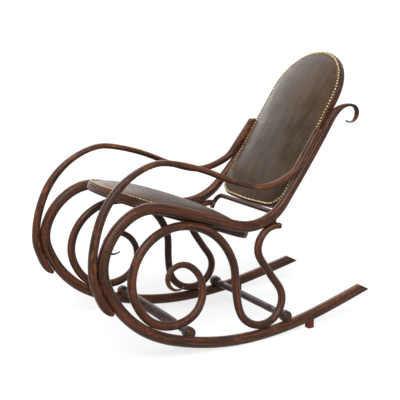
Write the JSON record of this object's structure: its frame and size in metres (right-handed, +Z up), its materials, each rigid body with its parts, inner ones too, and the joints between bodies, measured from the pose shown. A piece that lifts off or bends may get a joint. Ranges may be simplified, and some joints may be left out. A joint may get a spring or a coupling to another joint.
{
  "type": "bentwood rocking chair",
  "caption": "Bentwood rocking chair with leather seat and back, curled side loops and long runners that rock on the floor.",
  "frame": {"origin": "on the floor plane under the middle of the outer box", "axes": "+Z up, -Y the way the sitter faces, +X to the sitter's left"},
  "size_m": [0.5242, 1.0523, 0.9022],
  "materials": {
    "bentwood": "satin shellac over dark red-brown stain, worn orange at the edges",
    "stop_wood": "dull red-brown stain",
    "leather": "smooth, dull sheen",
    "lining_leather": "smooth, matt",
    "brass": "aged",
    "steel": "dull",
    "webbing": "jute",
    "canvas": "unbleached",
    "stuffing": "curled hair",
    "dust_cloth": "black cotton"
  },
  "bodies": {
    "root": {"arm_left": "bentwood", "arm_right": "bentwood", "arm_screws_left": "steel", "arm_screws_right": "steel", "back_canvas": "canvas", "back_hoop": "bentwood", "back_leather": "leather", "back_lining": "lining_leather", "back_nails": "brass", "back_screws_left": "steel", "back_screws_right": "steel", "back_stuffing": "stuffing", "back_webbing": "webbing", "bow_screws_left": "steel", "bow_screws_right": "steel", "front_stretcher": "bentwood", "loop_screws_left": "steel", "loop_screws_right": "steel", "lower_bow": "bentwood", "rear_stop_left": "stop_wood", "rear_stop_right": "stop_wood", "rear_stretcher": "bentwood", "scroll_loop_left": "bentwood", "scroll_loop_right": "bentwood", "seat_canvas": "canvas", "seat_dust_cloth": "dust_cloth", "seat_leather": "leather", "seat_nails": "brass", "seat_ring": "bentwood", "seat_screws_left": "steel", "seat_screws_right": "steel", "seat_stuffing": "stuffing", "seat_webbing": "webbing", "side_member_left": "bentwood", "side_member_right": "bentwood", "stop_screws_left": "steel", "stop_screws_right": "steel", "stretcher_screws_left": "steel", "stretcher_screws_right": "steel"}
  },
  "joints": []
}
